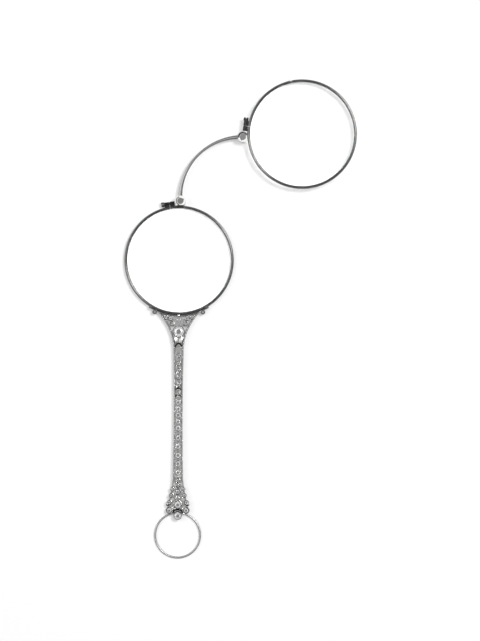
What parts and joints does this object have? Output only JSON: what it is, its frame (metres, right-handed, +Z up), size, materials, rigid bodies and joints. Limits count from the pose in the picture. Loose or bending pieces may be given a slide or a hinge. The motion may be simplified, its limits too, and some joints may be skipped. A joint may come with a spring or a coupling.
{
  "type": "lorgnette",
  "caption": "Folding lorgnette: two round lenses on a curved double-hinged bow, with a slim pierced, stone-set handle, a catch button and a suspension ring.",
  "frame": {"origin": "middle of the open lorgnette's outline, on the surface it lies on", "axes": "+Z up out of the front face, +Y from the suspension ring towards the lenses, +X towards the folding lens"},
  "size_m": [0.0814, 0.169, 0.004],
  "materials": {
    "platinum": "cast and pierced platinum, milled edges, darkened in the recesses",
    "polished_platinum": "polished platinum wire",
    "steel": "grey steel pins, screws and springs",
    "lens_glass": "clear polished lens glass",
    "diamond": "clear faceted stones"
  },
  "bodies": {
    "handle": {"fixed_rim": "platinum", "fixed_lens": "lens_glass", "fixed_closing_barrels": "platinum", "fixed_closing_screw": "steel", "fixed_hinge_fork": "platinum", "fixed_hinge_pin": "steel", "fixed_hinge_spring": "steel", "rim_cradle": "platinum", "catch_spring": "steel", "side_rails": "platinum", "head_plate": "platinum", "head_scrolls": "platinum", "head_collets": "platinum", "head_diamonds": "diamond", "main_collet": "platinum", "main_diamond": "diamond", "neck_leaves": "platinum", "shaft_lattice": "platinum", "lattice_collets": "platinum", "lattice_diamonds": "diamond", "shaft_links": "platinum", "shaft_collets": "platinum", "shaft_diamonds": "diamond", "foot_plate": "platinum", "foot_collets": "platinum", "foot_diamonds": "diamond", "finial_collet": "platinum", "finial_diamond": "diamond", "ring_bail": "platinum"},
    "bow": {"bow": "polished_platinum"},
    "folding_lens": {"moving_rim": "platinum", "moving_lens": "lens_glass", "moving_closing_barrels": "platinum", "moving_closing_screw": "steel", "moving_hinge_fork": "platinum", "moving_hinge_pin": "steel", "moving_hinge_spring": "steel", "catch_lug": "polished_platinum"},
    "catch_button": {"catch_button": "polished_platinum"},
    "suspension_ring": {"suspension_ring": "polished_platinum"}
  },
  "joints": [
    {"name": "bow_fold", "type": "hinge", "parent": "handle", "child": "bow", "pos_m": [-0.02111, 0.04123, 0], "axis": [0, 0, -1], "range_deg": [0, 96], "stiffness_Nm_per_rad": 0.002, "springref_deg": -28.65},
    {"name": "lens_fold", "type": "hinge", "parent": "bow", "child": "folding_lens", "pos_m": [0.0007, 0.06381, 0], "axis": [0, 0, -1], "range_deg": [0, 96], "stiffness_Nm_per_rad": 0.002, "springref_deg": -28.65},
    {"name": "catch_press", "type": "slide", "parent": "handle", "child": "catch_button", "axis": [0, 0, -1], "range_m": [0, 0.0003], "stiffness_N_per_m": 60, "springref_m": -0.0001, "deforming": ["catch_spring"]},
    {"name": "ring_swing", "type": "hinge", "parent": "handle", "child": "suspension_ring", "pos_m": [-0.02147, -0.06832, 0.00059], "axis": [1, 0, 0], "range_deg": [0, 150]}
  ],
  "couplings": [
    {"joint": "lens_fold", "follows": "bow_fold", "ratio": 1}
  ]
}
